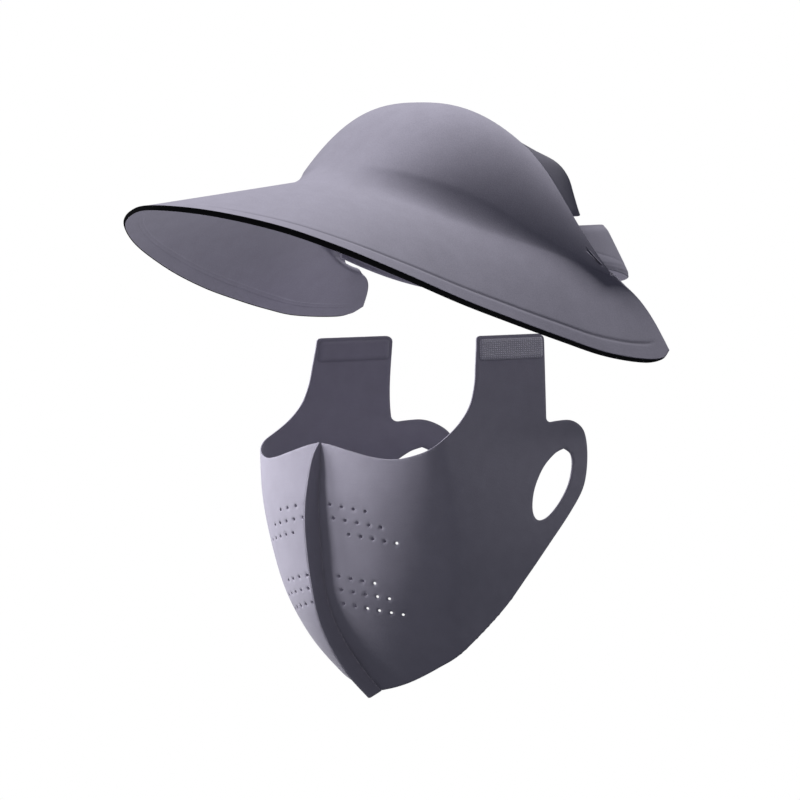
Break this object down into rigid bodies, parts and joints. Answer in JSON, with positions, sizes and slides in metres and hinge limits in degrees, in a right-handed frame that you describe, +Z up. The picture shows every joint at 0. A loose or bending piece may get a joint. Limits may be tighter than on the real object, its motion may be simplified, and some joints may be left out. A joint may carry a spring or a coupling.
{
  "type": "sun hat with face mask",
  "caption": "Wide-brimmed sun hat with a moulded crown, cut-away back and strap, and a separate pierced face mask with ear loops and hook tabs.",
  "frame": {"origin": "middle of the head opening, level with the front of the brim", "axes": "+Z up, the wearer's face looks along -Y, the wearer's left is +X"},
  "size_m": [0.2896, 0.358, 0.3755],
  "materials": {
    "fabric": "matt bonded knit in dusty lavender grey",
    "dark_edge": "black cut edge of the bonded brim",
    "mask_fabric": "matt stretch knit in dusty lavender grey",
    "hook_tape": "fine woven hook tape"
  },
  "bodies": {
    "root": {"hat_shell": "fabric", "brim_edge": "dark_edge", "crown_back_panel": "fabric", "back_strap": "fabric", "mask_centre_seam": "mask_fabric", "mask_half_left": "mask_fabric", "mask_half_right": "mask_fabric", "tab_patch_left": "hook_tape", "tab_patch_right": "hook_tape"}
  },
  "joints": []
}
